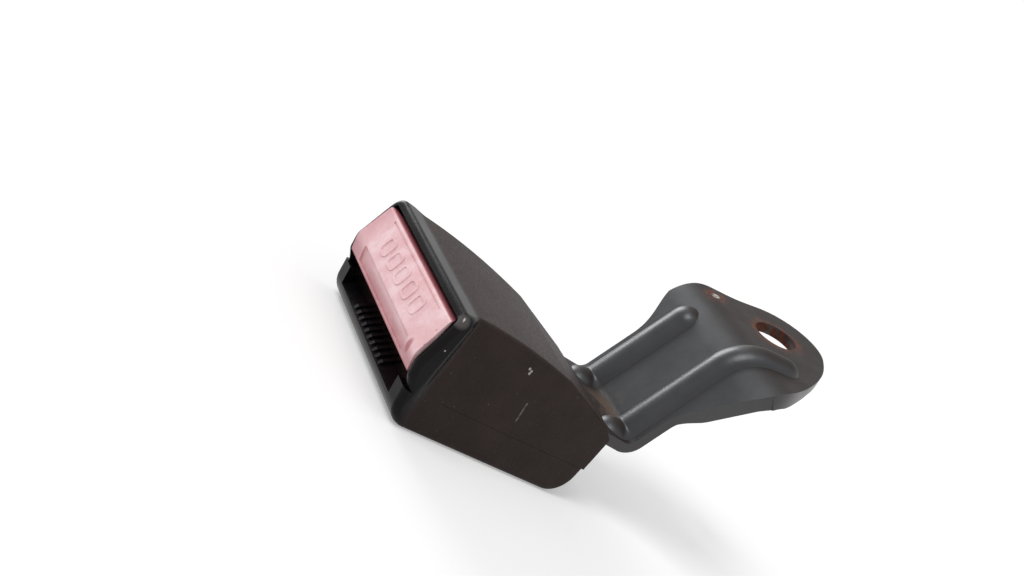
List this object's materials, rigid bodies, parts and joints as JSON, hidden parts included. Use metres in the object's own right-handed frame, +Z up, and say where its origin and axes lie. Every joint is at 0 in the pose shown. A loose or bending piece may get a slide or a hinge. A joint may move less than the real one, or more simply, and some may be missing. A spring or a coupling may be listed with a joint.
{
  "type": "seat belt buckle",
  "caption": "Seat belt buckle with a wide push button, a belt tongue slot and a rigid cranked steel stalk ending in an anchor eye.",
  "frame": {"origin": "centre of the anchor hole, on the upper face of the eye plate", "axes": "+Y from the mouth towards the anchor eye, +Z up from the flat underside, +X across the buckle to the side with the long bead"},
  "size_m": [0.0563, 0.1221, 0.0655],
  "materials": {
    "housing": "fine moulded grain with a smooth rim",
    "button": "faded red, satin",
    "stalk": "glossy dark coating over pressed steel",
    "steel": "yellow-passivated, a little rusted",
    "latch": "hardened and bright",
    "spring": "drawn wire",
    "slider": "natural moulded",
    "screw": "black oxide"
  },
  "bodies": {
    "housing": {"upper_cover": "housing", "lower_cover": "housing", "buckle_frame": "steel", "frame_spacer_pin": "steel", "latch_pivot_pin": "latch", "pivot_pin_clip": "spring", "latch_spring": "spring", "ejector_spring": "spring", "button_spring_left": "spring", "button_spring_right": "spring", "anchor_stalk": "stalk", "stalk_rivet_left": "steel", "stalk_rivet_right": "steel", "cover_screw_front_left": "screw", "cover_screw_front_right": "screw", "cover_screw_rear_left": "screw", "cover_screw_rear_right": "screw"},
    "button": {"release_button": "button"},
    "latch": {"latch_lever": "latch"},
    "ejector": {"ejector": "slider"}
  },
  "joints": [
    {"name": "button_press", "type": "slide", "parent": "housing", "child": "button", "axis": [0, 1, 0], "range_m": [0, 0.0036], "stiffness_N_per_m": 1200, "springref_m": -0.006, "deforming": ["button_spring_left", "button_spring_right"]},
    {"name": "latch_lift", "type": "hinge", "parent": "housing", "child": "latch", "pos_m": [0.002, -0.06539, -0.047], "axis": [-1, 0, 0], "range_deg": [0, 15], "deforming": ["latch_spring"]},
    {"name": "ejector_slide", "type": "slide", "parent": "housing", "child": "ejector", "axis": [0, 1, 0], "range_m": [0, 0.009], "stiffness_N_per_m": 250, "springref_m": -0.004, "deforming": ["ejector_spring"]}
  ],
  "couplings": [
    {"joint": "latch_lift", "follows": "button_press", "rad_per_m": 72.722}
  ]
}
